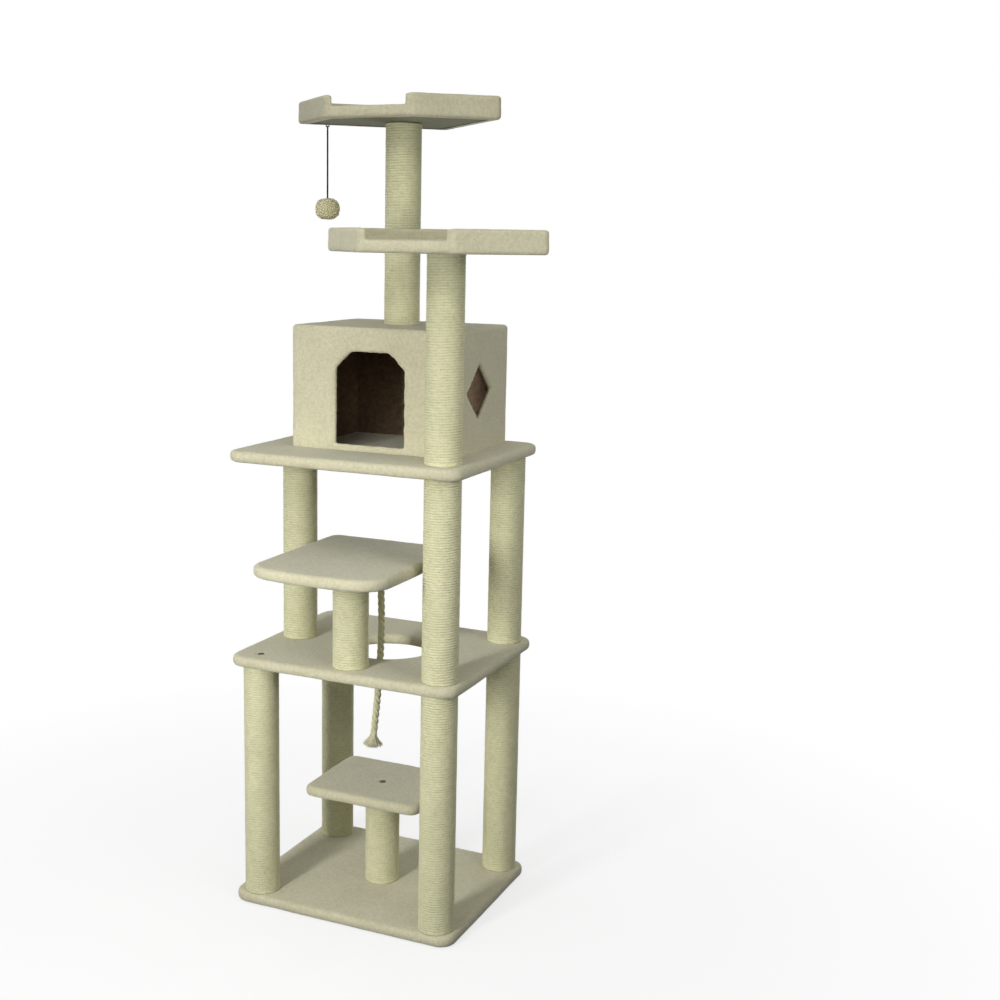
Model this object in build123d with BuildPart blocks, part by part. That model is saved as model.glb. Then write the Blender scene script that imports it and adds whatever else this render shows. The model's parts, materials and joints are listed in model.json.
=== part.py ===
from build123d import *
import math
import os

os.makedirs("parts", exist_ok=True)

# Boards and their plush, in millimetres
BOARD = 18.0
PLUSH = 5.0
EDGE_BEVEL = 7.0
LEVEL = BOARD + 2 * PLUSH

# Outer sizes of the plush-covered levels
BASE_WIDTH = 612.0
BASE_DEPTH = 506.0
BASE_CORNER = 42.0
PLATFORM_WIDTH = 618.0
PLATFORM_DEPTH = 520.0
PLATFORM_CORNER = 42.0
MID_CENTRE = (-2.0, 2.0)
UPPER_CENTRE = (8.0, -16.0)
LOW_STEP_WIDTH = 322.0
LOW_STEP_DEPTH = 264.0
LOW_STEP_CORNER = 28.0
LOW_STEP_CENTRE = (-4.0, -4.0)
HIGH_STEP_WIDTH = 354.0
HIGH_STEP_DEPTH = 447.0
HIGH_STEP_BOW = 21.0
HIGH_STEP_FRONT_CORNER = 70.0
HIGH_STEP_BACK_CORNER = 30.0
HIGH_STEP_CENTRE = (15.0, -201.5)

# Round way through the middle platform, measured inside its plush
HOLE_RADIUS = 107.0
HOLE_CENTRE = (10.0, 5.0)

# Posts: a paper tube with sisal rope wound round it
TUBE_RADIUS = 38.0
TUBE_WALL = 3.0
TUBE_FLATS = 12
ROPE_ON_POST = 6.5
PLUG_HEIGHT = 30.0
LEFT_X = -243.0
RIGHT_X = 249.0
FRONT_Y = -204.0
BACK_Y = 194.0
MID_LEFT = (-240.0, -14.0)
LOW_STEP_AT = (4.0, -13.0)
HIGH_STEP_AT = (5.0, -194.0)
LOWER_POST = 597.0
MIDDLE_POST = 489.0
SIDE_PERCH_POST = 478.0
TOP_PERCH_POST = 481.0
LOW_STEP_POST = 238.0
HIGH_STEP_POST = 246.0

# Bolts that hold the posts to the boards
BOLT_RADIUS = 4.0
BOLT_IN_PLUG = 24.0
BOLT_HEAD_ACROSS = 15.0
BOLT_HEAD = 4.2
BOLT_DIMPLE = 11.0
BOLT_CLEARANCE = 0.3
BOLT_FLATS = 6

# House with its door and window
CONDO_WIDTH = 436.0
CONDO_DEPTH = 330.0
CONDO_HEIGHT = 299.0
CONDO_CENTRE = (21.0, 36.0)
PANEL = 12.0
CONDO_BEVEL = 5.0
DOOR_WIDTH = 183.0
DOOR_HEIGHT = 224.0
DOOR_SILL = 16.0
DOOR_CLIP = 40.0
DOOR_SHIFT = -4.0
WINDOW_HALF_WIDTH = 72.0
WINDOW_HALF_HEIGHT = 66.0
WINDOW_FORWARD = 12.0
WINDOW_DROP = 5.0

# Perches: five-sided trays, open along the short front edge
PERCH_HALF_WIDTH = 272.0
PERCH_SIDE_Y = -52.0
PERCH_FRONT_HALF = 114.0
PERCH_FRONT_Y = -202.0
PERCH_BACK_Y = 237.0
PERCH_RIM_HEIGHT = 25.0
PERCH_RIM_STRIP = 6.0
PERCH_CORNER = 14.0
PERCH_RIM_BEVEL = 4.0
SIDE_PERCH_SHIFT = -5.0
TOP_PERCH_SHIFT = 6.0

# Hanging toy under the top perch, placed from that perch's post
TOY_AT = (-205.0, -9.0)
TOY_CORD_RADIUS = 1.5
TOY_CORD = 166.0
TOY_BALL_RADIUS = 30.0
TOY_BALL_HALF_HEIGHT = 25.5
TOY_BALL_SIDES = 12
TOY_BALL_BANDS = 6

# Hanging rope under the high step, through the hole
ROPE_RADIUS = 7.5
ROPE_AT = (-6.0, -20.0)
TUFT_LENGTH = 40.0
TUFT_RADIUS = 26.0
TUFT_FLATS = 12
RUN_SHARE = 0.45

# Staple and eye that each hanging piece swings on
STAPLE_DEPTH = 12.0
PIVOT_CLEARANCE = 0.3


def save(solid, name):
    solid.label = name
    export_step(solid, "parts/" + name + ".step")


# Heights of the levels, from the floor up
BASE_TOP = LEVEL
MID_BOTTOM = BASE_TOP + LOWER_POST
MID_TOP = MID_BOTTOM + LEVEL
UPPER_BOTTOM = MID_TOP + MIDDLE_POST
UPPER_TOP = UPPER_BOTTOM + LEVEL
LOW_STEP_BOTTOM = BASE_TOP + LOW_STEP_POST
HIGH_STEP_BOTTOM = MID_TOP + HIGH_STEP_POST
SIDE_PERCH_BOTTOM = UPPER_TOP + SIDE_PERCH_POST
ROOF_TOP = UPPER_TOP + CONDO_HEIGHT
TOP_PERCH_BOTTOM = ROOF_TOP + TOP_PERCH_POST
POST_RADIUS = TUBE_RADIUS + ROPE_ON_POST

FRONT_LEFT = (LEFT_X, FRONT_Y)
BACK_LEFT = (LEFT_X, BACK_Y)
FRONT_RIGHT = (RIGHT_X, FRONT_Y)
BACK_RIGHT = (RIGHT_X, BACK_Y)
TOP_POST = CONDO_CENTRE

# Each post: its name, place, foot and length
POSTS = [
    ("front_left_post", FRONT_LEFT, BASE_TOP, LOWER_POST),
    ("back_left_post", BACK_LEFT, BASE_TOP, LOWER_POST),
    ("front_right_post", FRONT_RIGHT, BASE_TOP, LOWER_POST),
    ("back_right_post", BACK_RIGHT, BASE_TOP, LOWER_POST),
    ("low_step_post", LOW_STEP_AT, BASE_TOP, LOW_STEP_POST),
    ("mid_left_post", MID_LEFT, MID_TOP, MIDDLE_POST),
    ("mid_front_right_post", FRONT_RIGHT, MID_TOP, MIDDLE_POST),
    ("mid_back_right_post", BACK_RIGHT, MID_TOP, MIDDLE_POST),
    ("high_step_post", HIGH_STEP_AT, MID_TOP, HIGH_STEP_POST),
    ("side_perch_post", FRONT_RIGHT, UPPER_TOP, SIDE_PERCH_POST),
    ("top_perch_post", TOP_POST, ROOF_TOP, TOP_PERCH_POST),
]

# Where bolts enter each level from above and from below, and studs pass right through
BASE_FROM_BELOW = [FRONT_LEFT, BACK_LEFT, FRONT_RIGHT, BACK_RIGHT, LOW_STEP_AT]
MID_FROM_ABOVE = [FRONT_LEFT, BACK_LEFT]
MID_FROM_BELOW = [MID_LEFT, HIGH_STEP_AT]
MID_STUDS = [FRONT_RIGHT, BACK_RIGHT]
UPPER_FROM_ABOVE = [MID_LEFT, BACK_RIGHT]
UPPER_STUDS = [FRONT_RIGHT]


def platform_outline(width, depth, corner):
    with BuildSketch() as outline:
        RectangleRounded(width, depth, corner)
    return outline.sketch


def high_step_outline(inset):
    half = HIGH_STEP_WIDTH / 2 - inset
    back = HIGH_STEP_DEPTH / 2 - inset
    front = HIGH_STEP_BOW - back
    with BuildSketch() as outline:
        with BuildLine():
            Polyline((half, front), (half, back), (-half, back), (-half, front))
            ThreePointArc((-half, front), (0, -back), (half, front))
        make_face()
        fillet(outline.vertices().group_by(Axis.Y)[0], HIGH_STEP_FRONT_CORNER - inset)
        fillet(outline.vertices().group_by(Axis.Y)[-1], HIGH_STEP_BACK_CORNER - inset)
    return outline.sketch


def bolt_holes(places, radius, low, high):
    # A straight hole for a bolt or its head at each place, between two heights
    with BuildPart() as holes:
        with BuildSketch(Plane.XY.offset(low)):
            with Locations(*places):
                RegularPolygon(radius, BOLT_FLATS, major_radius=False)
        extrude(amount=high - low)
    return holes.part


BOLT_HOLE = BOLT_RADIUS + BOLT_CLEARANCE


def make_board(outline, centre, bottom, bolts, hole_radius=0.0):
    low = bottom + PLUSH
    high = low + BOARD
    with BuildPart() as board:
        with BuildSketch(Plane.XY.offset(low)):
            with Locations(centre):
                add(outline)
            if hole_radius:
                with Locations(HOLE_CENTRE):
                    Circle(hole_radius, mode=Mode.SUBTRACT)
        extrude(amount=BOARD)
        add(bolt_holes(bolts, BOLT_HOLE, low, high), mode=Mode.SUBTRACT)
    return board.part


def make_cover(outline, centre, bottom, board, above, below, studs, hole_radius=0.0):
    top = bottom + LEVEL
    with BuildPart() as cover:
        with BuildSketch(Plane.XY.offset(bottom)):
            with Locations(centre):
                add(outline)
            if hole_radius:
                with Locations(HOLE_CENTRE):
                    Circle(hole_radius, mode=Mode.SUBTRACT)
        extrude(amount=LEVEL)
        flats = cover.faces().filter_by(Axis.Z)
        chamfer(flats.edges(), EDGE_BEVEL)
        add(board, mode=Mode.SUBTRACT)
        add(bolt_holes([*above, *below, *studs], BOLT_HOLE, bottom, top), mode=Mode.SUBTRACT)
        if above:
            add(bolt_holes(above, BOLT_DIMPLE, top - PLUSH, top), mode=Mode.SUBTRACT)
        if below:
            add(bolt_holes(below, BOLT_DIMPLE, bottom, bottom + PLUSH), mode=Mode.SUBTRACT)
    return cover.part


def make_level(name, full, core, centre, bottom, above=(), below=(), studs=(), hole=0.0, cut=None):
    # A wooden board with plush wrapped round it
    bolts = [*above, *below, *studs]
    raw_hole = hole + PLUSH if hole else 0.0
    board = make_board(core, centre, bottom, bolts, raw_hole)
    cover = make_cover(full, centre, bottom, board, above, below, studs, hole)
    if cut:
        board = board - cut
        cover = cover - cut
    save(board, name + "_board")
    save(cover, name + "_cover")


def make_winding(name, place, foot, length):
    with BuildPart() as winding:
        with BuildSketch(Plane((place[0], place[1], foot))):
            Circle(POST_RADIUS)
            RegularPolygon(TUBE_RADIUS, TUBE_FLATS, major_radius=False, mode=Mode.SUBTRACT)
        extrude(amount=length)
    save(winding.part, name + "_sisal")


TUBE_BORE = TUBE_RADIUS - TUBE_WALL


def make_tubes():
    with BuildPart() as tubes:
        for name, place, foot, length in POSTS:
            with BuildSketch(Plane((place[0], place[1], foot))):
                RegularPolygon(TUBE_RADIUS, TUBE_FLATS, major_radius=False)
                RegularPolygon(TUBE_BORE, TUBE_FLATS, major_radius=False, mode=Mode.SUBTRACT)
            extrude(amount=length)
    save(tubes.part, "post_tubes")


def make_plugs():
    # Wooden blocks, a push fit in the tube ends, which the bolts screw into
    with BuildPart() as plugs:
        for name, place, foot, length in POSTS:
            for end in (foot, foot + length - PLUG_HEIGHT):
                with BuildSketch(Plane((place[0], place[1], end))):
                    RegularPolygon(TUBE_BORE, TUBE_FLATS, major_radius=False)
                    RegularPolygon(BOLT_HOLE, BOLT_FLATS, major_radius=False, mode=Mode.SUBTRACT)
                extrude(amount=PLUG_HEIGHT)
    save(plugs.part, "post_plugs")


def bolt_list():
    # Each bolt: its place, the height of the face under its head, its way and its grip
    grip = BOARD + PLUSH
    roof_grip = PANEL + PLUSH
    face_down = PLUSH
    face_up = PLUSH + BOARD
    bolts = [(place, face_down, 1, grip) for place in BASE_FROM_BELOW]
    bolts += [(place, MID_BOTTOM + face_up, -1, grip) for place in MID_FROM_ABOVE]
    bolts += [(place, MID_BOTTOM + face_down, 1, grip) for place in MID_FROM_BELOW]
    bolts += [(place, UPPER_BOTTOM + face_up, -1, grip) for place in UPPER_FROM_ABOVE]
    bolts.append((LOW_STEP_AT, LOW_STEP_BOTTOM + face_up, -1, grip))
    bolts.append((HIGH_STEP_AT, HIGH_STEP_BOTTOM + face_up, -1, grip))
    bolts.append((FRONT_RIGHT, SIDE_PERCH_BOTTOM + face_up, -1, grip))
    bolts.append((TOP_POST, TOP_PERCH_BOTTOM + face_up, -1, grip))
    bolts.append((TOP_POST, ROOF_TOP - roof_grip, 1, roof_grip))
    return bolts


def make_bolts():
    # Hexagon heads on the board faces, with shanks running into the plugs
    with BuildPart() as bolts:
        for place, seat, way, grip in bolt_list():
            with BuildSketch(Plane((place[0], place[1], seat))):
                RegularPolygon(BOLT_HEAD_ACROSS / 2, 6, major_radius=False)
            extrude(amount=-way * BOLT_HEAD)
            with BuildSketch(Plane((place[0], place[1], seat))):
                RegularPolygon(BOLT_RADIUS, BOLT_FLATS, major_radius=False)
            extrude(amount=way * (grip + BOLT_IN_PLUG))
    save(bolts.part, "bolts")


def make_studs():
    with BuildPart() as studs:
        for places, bottom in ((MID_STUDS, MID_BOTTOM), (UPPER_STUDS, UPPER_BOTTOM)):
            with BuildSketch(Plane.XY.offset(bottom - BOLT_IN_PLUG)):
                with Locations(*places):
                    RegularPolygon(BOLT_RADIUS, BOLT_FLATS, major_radius=False)
            extrude(amount=LEVEL + 2 * BOLT_IN_PLUG)
    save(studs.part, "joining_studs")


def door_outline(grow):
    # The clipped doorway, standing on its sill, seen from the front
    half = DOOR_WIDTH / 2 + grow
    low = DOOR_SILL - grow
    high = DOOR_SILL + DOOR_HEIGHT + grow
    clip = DOOR_CLIP + grow * (2 - math.sqrt(2))
    with BuildSketch() as outline:
        with BuildLine():
            Polyline(
                (-half, low),
                (half, low),
                (half, high - clip),
                (half - clip, high),
                (clip - half, high),
                (-half, high - clip),
                close=True,
            )
        make_face()
    return outline.sketch


def window_outline(grow):
    across, up = WINDOW_HALF_WIDTH, WINDOW_HALF_HEIGHT
    scale = 1 + grow * math.hypot(across, up) / (across * up)
    across, up = across * scale, up * scale
    with BuildSketch() as outline:
        with BuildLine():
            Polyline((across, 0), (0, up), (-across, 0), (0, -up), close=True)
        make_face()
    return outline.sketch


def front_plane(y):
    return Plane((CONDO_CENTRE[0] + DOOR_SHIFT, y, UPPER_TOP), x_dir=(1, 0, 0), z_dir=(0, -1, 0))


def window_plane(x):
    y = CONDO_CENTRE[1] - WINDOW_FORWARD
    z = UPPER_TOP + CONDO_HEIGHT / 2 - WINDOW_DROP
    return Plane((x, y, z), x_dir=(0, 1, 0), z_dir=(1, 0, 0))


def make_panel(name, size, centre, opening=None, plane=None):
    with BuildPart() as panel:
        with Locations(centre):
            Box(*size)
        if opening:
            with BuildSketch(plane):
                add(opening)
            extrude(amount=PANEL, both=True, mode=Mode.SUBTRACT)
    save(panel.part, name)


def make_condo():
    x, y = CONDO_CENTRE
    width = CONDO_WIDTH - 2 * PLUSH
    depth = CONDO_DEPTH - 2 * PLUSH
    wall = CONDO_HEIGHT - PLUSH - PANEL
    side_depth = depth - 2 * PANEL
    z = UPPER_TOP + wall / 2
    front_y = y - (depth - PANEL) / 2
    back_y = y + (depth - PANEL) / 2
    left_x = x - (width - PANEL) / 2
    right_x = x + (width - PANEL) / 2
    door = door_outline(PLUSH)
    window = window_outline(PLUSH)
    make_panel("condo_front", (width, PANEL, wall), (x, front_y, z), door, front_plane(front_y))
    make_panel("condo_back", (width, PANEL, wall), (x, back_y, z))
    make_panel("condo_left", (PANEL, side_depth, wall), (left_x, y, z))
    make_panel("condo_right", (PANEL, side_depth, wall), (right_x, y, z), window, window_plane(right_x))
    with BuildPart() as roof:
        with Locations((x, y, UPPER_TOP + wall + PANEL / 2)):
            Box(width, depth, PANEL)
        add(bolt_holes([TOP_POST], BOLT_HOLE, UPPER_TOP + wall, ROOF_TOP), mode=Mode.SUBTRACT)
    save(roof.part, "condo_roof")
    make_condo_cover(x, y, width, depth)


def make_condo_cover(x, y, width, depth):
    # Plush over the walls and roof, turned in through the door and the window
    front = y - CONDO_DEPTH / 2
    right = x + CONDO_WIDTH / 2
    turned_in = PLUSH + PANEL
    low = (Align.CENTER, Align.CENTER, Align.MIN)
    with BuildPart() as cover:
        with Locations((x, y, UPPER_TOP)):
            Box(CONDO_WIDTH, CONDO_DEPTH, CONDO_HEIGHT, align=low)
        upright = cover.edges().filter_by(Axis.Z)
        top = cover.faces().sort_by(Axis.Z)[-1].edges()
        chamfer(upright + top, CONDO_BEVEL)
        with Locations((x, y, UPPER_TOP)):
            Box(width, depth, CONDO_HEIGHT - PLUSH, align=low, mode=Mode.SUBTRACT)
        with BuildSketch(front_plane(front)):
            add(door_outline(PLUSH))
        extrude(amount=-turned_in)
        with BuildSketch(front_plane(front)):
            add(door_outline(0))
        extrude(amount=turned_in, both=True, mode=Mode.SUBTRACT)
        with BuildSketch(window_plane(right)):
            add(window_outline(PLUSH))
        extrude(amount=-turned_in)
        with BuildSketch(window_plane(right)):
            add(window_outline(0))
        extrude(amount=turned_in, both=True, mode=Mode.SUBTRACT)
        add(bolt_holes([TOP_POST], BOLT_HOLE, ROOF_TOP - PLUSH, ROOF_TOP), mode=Mode.SUBTRACT)
    save(cover.part, "condo_cover")


def move_edges(points, distances):
    # Moves each side of a polygon inwards by its own distance and returns the new corners
    moved = []
    count = len(points)
    for i in range(count):
        a = Vector(points[i])
        b = Vector(points[(i + 1) % count])
        along = (b - a).normalized()
        inward = Vector(-along.Y, along.X)
        moved.append((a + inward * distances[i], along))
    corners = []
    for i in range(count):
        p, d = moved[i - 1]
        q, e = moved[i]
        cross = d.X * e.Y - d.Y * e.X
        t = ((q - p).X * e.Y - (q - p).Y * e.X) / cross
        corners.append(tuple(p + d * t)[:2])
    return corners


# Corners of the tray anticlockwise from the left end of its open front
PERCH_CORNERS = [
    (-PERCH_FRONT_HALF, PERCH_FRONT_Y),
    (PERCH_FRONT_HALF, PERCH_FRONT_Y),
    (PERCH_HALF_WIDTH, PERCH_SIDE_Y),
    (0.0, PERCH_BACK_Y),
    (-PERCH_HALF_WIDTH, PERCH_SIDE_Y),
]


def perch_outline(front, sides):
    with BuildSketch() as outline:
        with BuildLine():
            Polyline(*move_edges(PERCH_CORNERS, [front] + 4 * [sides]), close=True)
        make_face()
    return outline.sketch


def make_perch(name, post, shift, bottom, cut=None):
    place = (post[0] + shift, post[1])
    rim = 2 * PLUSH + PERCH_RIM_STRIP
    floor = bottom + LEVEL
    on_board = floor - PLUSH
    with BuildPart() as board:
        with BuildSketch(Plane((place[0], place[1], bottom + PLUSH))):
            add(perch_outline(PLUSH, PLUSH))
        extrude(amount=BOARD)
        add(bolt_holes([post], BOLT_HOLE, bottom + PLUSH, on_board), mode=Mode.SUBTRACT)
    with BuildPart() as strip:
        with BuildSketch(Plane((place[0], place[1], on_board))):
            add(perch_outline(PLUSH, PLUSH))
            add(perch_outline(-PLUSH, PLUSH + PERCH_RIM_STRIP), mode=Mode.SUBTRACT)
        extrude(amount=PERCH_RIM_HEIGHT)
    with BuildPart() as cover:
        with BuildSketch(Plane((place[0], place[1], bottom))):
            add(perch_outline(0, 0))
        extrude(amount=LEVEL + PERCH_RIM_HEIGHT)
        fillet(cover.edges().filter_by(Axis.Z), PERCH_CORNER)
        with BuildSketch(Plane((place[0], place[1], floor))):
            add(perch_outline(-rim, rim))
        extrude(amount=PERCH_RIM_HEIGHT, mode=Mode.SUBTRACT)
        rim_top = cover.faces().filter_by(Axis.Z).sort_by(Axis.Z)[-1]
        chamfer(rim_top.edges(), PERCH_RIM_BEVEL)
        underside = cover.faces().filter_by(Axis.Z).sort_by(Axis.Z)[0]
        chamfer(underside.edges(), EDGE_BEVEL)
        add(board.part, mode=Mode.SUBTRACT)
        add(strip.part, mode=Mode.SUBTRACT)
        add(bolt_holes([post], BOLT_HOLE, bottom, floor), mode=Mode.SUBTRACT)
        add(bolt_holes([post], BOLT_DIMPLE, on_board, floor), mode=Mode.SUBTRACT)
    board_solid = board.part - cut if cut else board.part
    cover_solid = cover.part - cut if cut else cover.part
    save(board_solid, name + "_board")
    save(strip.part, name + "_rim")
    save(cover_solid, name + "_cover")


def hanger_sizes(wire):
    # Sizes of a staple and its eye, all from the staple's wire radius
    sizes = {}
    sizes["bore"] = wire + PIVOT_CLEARANCE
    sizes["cheek"] = sizes["bore"] + 1.5 * wire
    sizes["drop"] = 1.5 * sizes["cheek"] + wire
    sizes["half_span"] = 5 * wire
    sizes["half_eye"] = 1.5 * wire
    sizes["hang"] = sizes["cheek"] + 4 * wire
    sizes["foot"] = 1.5 * wire
    return sizes


def make_staple(name, place, under, wire):
    # A wire staple driven up into the board, with its crown clear of the plush
    s = hanger_sizes(wire)
    crown = under - s["drop"]
    leg = s["drop"] + wire + PLUSH + STAPLE_DEPTH
    with BuildPart() as staple:
        with Locations(Plane((place[0], place[1], crown), z_dir=(1, 0, 0))):
            Cylinder(wire, 2 * s["half_span"])
        for side in (-1, 1):
            with Locations((place[0] + side * s["half_span"], place[1], crown - wire + leg / 2)):
                Box(2 * wire, 2 * wire, leg)
    save(staple.part, name)
    return staple.part


def make_eye(name, place, under, wire):
    # The bound eye that swings on the staple's crown; what hangs swings on its rounded foot
    s = hanger_sizes(wire)
    crown = under - s["drop"]
    pivot = crown - s["hang"]
    height = s["hang"] + s["cheek"]
    with BuildPart() as eye:
        with Locations((place[0], place[1], pivot + height / 2)):
            Box(2 * s["half_eye"], 2 * s["cheek"], height)
        with Locations(Plane((place[0], place[1], pivot), z_dir=(0, 1, 0))):
            Cylinder(s["foot"], 2 * s["cheek"])
        with Locations(Plane((place[0], place[1], crown), z_dir=(1, 0, 0))):
            Cylinder(s["bore"], 3 * s["half_eye"], mode=Mode.SUBTRACT)
    save(eye.part, name)
    print(name, "crown height", round(crown, 3), "pivot height", round(pivot, 3))
    return pivot - s["foot"] - PIVOT_CLEARANCE


TOY_WIRE = 0.8
ROPE_WIRE = 2.0


def make_toy(top):
    x = TOP_POST[0] + TOY_AT[0]
    y = TOP_POST[1] + TOY_AT[1]
    with BuildPart() as cord:
        with BuildSketch(Plane((x, y, top))):
            Circle(TOY_CORD_RADIUS)
        extrude(amount=-TOY_CORD)
    save(cord.part, "toy_cord")
    # The pompom, a slightly flattened ball cut to shape by flats in rings round its axis
    middle = top - TOY_CORD - TOY_BALL_HALF_HEIGHT
    with BuildPart() as ball:
        with Locations((x, y, middle)):
            Box(2 * TOY_BALL_RADIUS, 2 * TOY_BALL_RADIUS, 2 * TOY_BALL_HALF_HEIGHT)
        for band in range(1, TOY_BALL_BANDS):
            tilt = math.pi * band / TOY_BALL_BANDS
            for side in range(TOY_BALL_SIDES):
                turn = 2 * math.pi * side / TOY_BALL_SIDES
                out = Vector(math.cos(turn), math.sin(turn)) * math.sin(tilt)
                up = Vector(0, 0, math.cos(tilt))
                touch = Vector(x, y, middle) + out * TOY_BALL_RADIUS + up * TOY_BALL_HALF_HEIGHT
                normal = out / TOY_BALL_RADIUS + up / TOY_BALL_HALF_HEIGHT
                split(bisect_by=Plane(touch, z_dir=normal), keep=Keep.BOTTOM)
    save(ball.part, "toy_ball")


# Middle line of the hanging rope below its eye, as (across, back, height under its top end)
ROPE_ROUTE = [
    (-6.0, -20.0, 0.0),
    (1.0, -20.8, -100.0),
    (-0.5, -21.0, -215.0),
    (-7.0, -20.2, -335.0),
    (-20.0, -19.5, -450.0),
]


def make_rope(top):
    points = [Vector(x, y, top + z) for x, y, z in ROPE_ROUTE]
    runs = [(b - a).length for a, b in zip(points, points[1:])]
    radii = []
    for i in range(1, len(points) - 1):
        turn = (points[i] - points[i - 1]).get_angle(points[i + 1] - points[i])
        radii.append(RUN_SHARE * min(runs[i - 1], runs[i]) / math.tan(math.radians(turn / 2)))
    print("rope radii", [round(r) for r in radii])
    with BuildPart() as rope:
        with BuildLine() as path:
            FilletPolyline(*points, radius=radii)
        line = path.wires()[0]
        with BuildSketch(Plane(line @ 0, z_dir=line % 0)):
            Circle(ROPE_RADIUS)
        sweep()
    whole = math.pi * ROPE_RADIUS**2 * line.length
    print("rope length", round(line.length, 1), "volume share", round(rope.part.volume / whole, 5))
    save(rope.part, "rope")
    # The unlaid strands at the rope's end, spreading from its girth
    end = Plane(line @ 1, z_dir=line % 1)
    with BuildPart() as tuft:
        with BuildSketch(end):
            RegularPolygon(TUFT_RADIUS, TUFT_FLATS, major_radius=False)
        extrude(amount=TUFT_LENGTH)
        for i in range(TUFT_FLATS):
            turn = 2 * math.pi * (i + 0.5) / TUFT_FLATS
            out = end.x_dir * math.cos(turn) + end.y_dir * math.sin(turn)
            slope = out * TUFT_LENGTH - end.z_dir * (TUFT_RADIUS - ROPE_RADIUS)
            split(bisect_by=Plane(end.origin + out * ROPE_RADIUS, z_dir=slope), keep=Keep.BOTTOM)
    save(tuft.part, "rope_tuft")


toy_place = (TOP_POST[0] + TOY_AT[0], TOP_POST[1] + TOY_AT[1])
toy_staple = make_staple("toy_staple", toy_place, TOP_PERCH_BOTTOM, TOY_WIRE)
toy_top = make_eye("toy_eye", toy_place, TOP_PERCH_BOTTOM, TOY_WIRE)
make_toy(toy_top)
rope_staple = make_staple("rope_staple", ROPE_AT, HIGH_STEP_BOTTOM, ROPE_WIRE)
rope_top = make_eye("rope_eye", ROPE_AT, HIGH_STEP_BOTTOM, ROPE_WIRE)
make_rope(rope_top)

base_full = platform_outline(BASE_WIDTH, BASE_DEPTH, BASE_CORNER)
base_core = platform_outline(BASE_WIDTH - 2 * PLUSH, BASE_DEPTH - 2 * PLUSH, BASE_CORNER - PLUSH)
make_level("base", base_full, base_core, (0, 0), 0.0, below=BASE_FROM_BELOW)

full = platform_outline(PLATFORM_WIDTH, PLATFORM_DEPTH, PLATFORM_CORNER)
core = platform_outline(
    PLATFORM_WIDTH - 2 * PLUSH,
    PLATFORM_DEPTH - 2 * PLUSH,
    PLATFORM_CORNER - PLUSH,
)
make_level(
    "mid",
    full,
    core,
    MID_CENTRE,
    MID_BOTTOM,
    above=MID_FROM_ABOVE,
    below=MID_FROM_BELOW,
    studs=MID_STUDS,
    hole=HOLE_RADIUS,
)
make_level("upper", full, core, UPPER_CENTRE, UPPER_BOTTOM, above=UPPER_FROM_ABOVE, studs=UPPER_STUDS)

low_full = platform_outline(LOW_STEP_WIDTH, LOW_STEP_DEPTH, LOW_STEP_CORNER)
low_core = platform_outline(
    LOW_STEP_WIDTH - 2 * PLUSH,
    LOW_STEP_DEPTH - 2 * PLUSH,
    LOW_STEP_CORNER - PLUSH,
)
make_level("low_step", low_full, low_core, LOW_STEP_CENTRE, LOW_STEP_BOTTOM, above=[LOW_STEP_AT])
make_level(
    "high_step",
    high_step_outline(0.0),
    high_step_outline(PLUSH),
    HIGH_STEP_CENTRE,
    HIGH_STEP_BOTTOM,
    above=[HIGH_STEP_AT],
    cut=rope_staple,
)

for post in POSTS:
    make_winding(*post)
make_tubes()
make_plugs()
make_bolts()
make_studs()
make_condo()
make_perch("side_perch", FRONT_RIGHT, SIDE_PERCH_SHIFT, SIDE_PERCH_BOTTOM)
make_perch("top_perch", TOP_POST, TOP_PERCH_SHIFT, TOP_PERCH_BOTTOM, cut=toy_staple)
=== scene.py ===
"""Looks of the cat tree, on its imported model.

Plush-wrapped boards, rope-wound posts, the house, two perches, the toy and the hanging rope.
"""

import json
import math

import bmesh
import bpy
import numpy as np
from mathutils import Matrix, Vector


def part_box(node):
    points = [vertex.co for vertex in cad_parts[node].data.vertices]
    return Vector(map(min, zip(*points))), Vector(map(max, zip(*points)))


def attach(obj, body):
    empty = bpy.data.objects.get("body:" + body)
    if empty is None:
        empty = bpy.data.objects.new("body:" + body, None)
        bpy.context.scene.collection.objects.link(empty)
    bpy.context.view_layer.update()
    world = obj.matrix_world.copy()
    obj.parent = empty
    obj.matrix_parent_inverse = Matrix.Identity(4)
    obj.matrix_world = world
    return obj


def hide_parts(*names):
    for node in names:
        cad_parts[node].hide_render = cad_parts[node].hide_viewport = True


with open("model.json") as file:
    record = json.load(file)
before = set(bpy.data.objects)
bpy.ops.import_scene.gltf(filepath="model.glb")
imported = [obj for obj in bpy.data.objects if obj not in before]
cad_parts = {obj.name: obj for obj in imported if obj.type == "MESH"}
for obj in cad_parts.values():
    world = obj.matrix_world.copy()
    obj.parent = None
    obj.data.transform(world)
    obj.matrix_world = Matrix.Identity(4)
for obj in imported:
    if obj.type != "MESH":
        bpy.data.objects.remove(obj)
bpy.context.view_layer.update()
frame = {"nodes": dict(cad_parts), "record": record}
scene = bpy.context.scene
nodes = frame["nodes"]

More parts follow.
